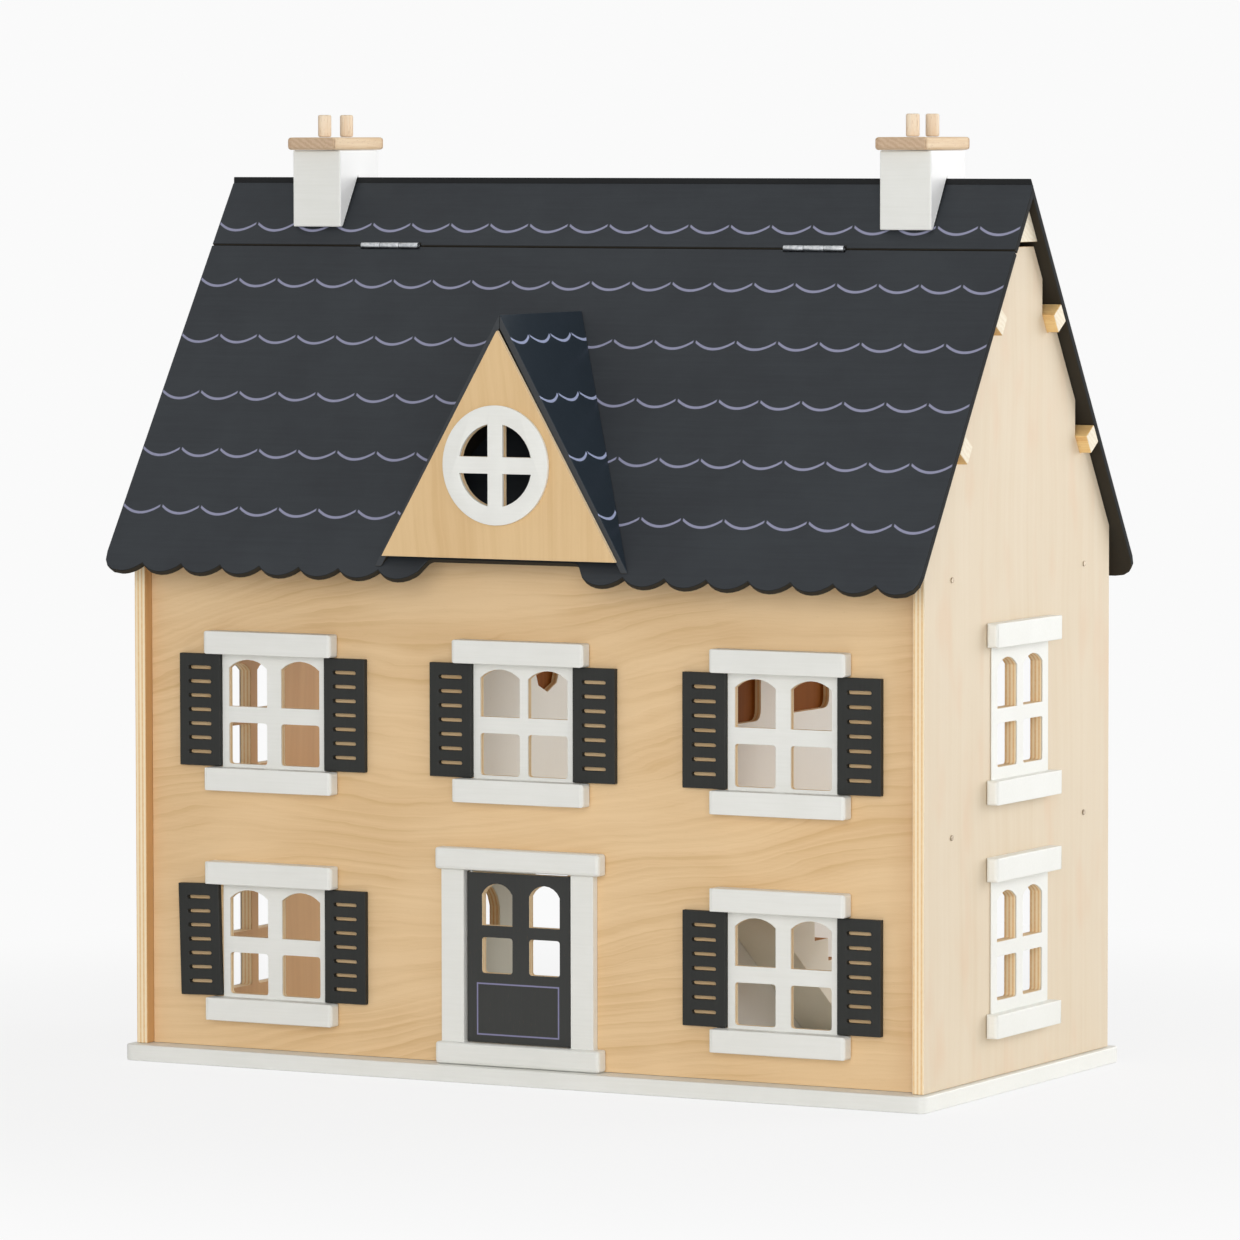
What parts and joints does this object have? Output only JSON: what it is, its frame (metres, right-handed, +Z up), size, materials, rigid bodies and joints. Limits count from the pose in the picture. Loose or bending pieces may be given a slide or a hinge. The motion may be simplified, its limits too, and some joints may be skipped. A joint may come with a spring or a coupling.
{
  "type": "wooden dollhouse",
  "caption": "Plywood dollhouse with gabled walls, shuttered windows, an opening front door, a dormer and a scalloped front roof slope that hinges open over the attic.",
  "frame": {"origin": "middle of the underside of the base board", "axes": "+Z up, -Y towards the front of the house with the door, +X to the right seen from the front"},
  "size_m": [0.6703, 0.3805, 0.701],
  "materials": {
    "white_paint": "satin white paint over birch plywood",
    "front_ply": "clear-lacquered birch plywood, flat sawn grain",
    "side_ply": "clear-lacquered birch plywood, upright grain",
    "room_ply": "bare birch plywood",
    "room_white": "matt white paint over plywood",
    "room_grey": "matt warm grey paint over plywood",
    "stair_ply": "bare plywood",
    "roof_paint": "satin charcoal paint over plywood, lilac scallop lines",
    "shutter_paint": "satin charcoal paint over plywood",
    "beech": "clear-lacquered solid beech",
    "steel": "bright zinc-plated steel"
  },
  "bodies": {
    "house": {"attic_floor": "room_ply", "base_board": "white_paint", "chimney_cap_left": "beech", "chimney_cap_right": "beech", "chimney_pot_left_front": "beech", "chimney_pot_left_rear": "beech", "chimney_pot_right_front": "beech", "chimney_pot_right_rear": "beech", "chimney_stack_left": "white_paint", "chimney_stack_right": "white_paint", "door_rod": "steel", "door_surround": "white_paint", "front_wall": "front_ply", "ground_partition_left": "room_grey", "ground_partition_right": "room_white", "hinge_leaf_fixed_left": "steel", "hinge_leaf_fixed_right": "steel", "hinge_pin_left": "steel", "hinge_pin_right": "steel", "left_wall": "side_ply", "middle_floor": "room_ply", "purlin_front_lower": "beech", "purlin_front_upper": "beech", "purlin_rear_lower": "beech", "purlin_rear_upper": "beech", "rear_roof": "roof_paint", "ridge_beam": "beech", "right_wall": "side_ply", "roof_strip": "roof_paint", "shutter_lower_left_left": "shutter_paint", "shutter_lower_left_right": "shutter_paint", "shutter_lower_right_left": "shutter_paint", "shutter_lower_right_right": "shutter_paint", "shutter_upper_left_left": "shutter_paint", "shutter_upper_left_right": "shutter_paint", "shutter_upper_middle_left": "shutter_paint", "shutter_upper_middle_right": "shutter_paint", "shutter_upper_right_left": "shutter_paint", "shutter_upper_right_right": "shutter_paint", "stair_flight": "stair_ply", "upper_partition_left": "room_white", "upper_partition_right": "room_white", "window_lower_left": "white_paint", "window_lower_right": "white_paint", "window_side_left_lower": "white_paint", "window_side_left_upper": "white_paint", "window_side_right_lower": "white_paint", "window_side_right_upper": "white_paint", "window_upper_left": "white_paint", "window_upper_middle": "white_paint", "window_upper_right": "white_paint"},
    "hatch": {"roof_hatch": "roof_paint", "dormer_roof_left": "roof_paint", "dormer_roof_right": "roof_paint", "dormer_gable": "front_ply", "dormer_window": "white_paint", "hinge_leaf_moving_left": "steel", "hinge_leaf_moving_right": "steel"},
    "door": {"door_leaf": "shutter_paint"}
  },
  "joints": [
    {"name": "hatch_hinge", "type": "hinge", "parent": "house", "child": "hatch", "pos_m": [0, -0.03256, 0.60407], "axis": [-1, 0, 0], "range_deg": [0, 144]},
    {"name": "door_hinge", "type": "hinge", "parent": "house", "child": "door", "pos_m": [-0.043, -0.1492, 0.09], "axis": [0, 0, -1], "range_deg": [0, 100]}
  ]
}
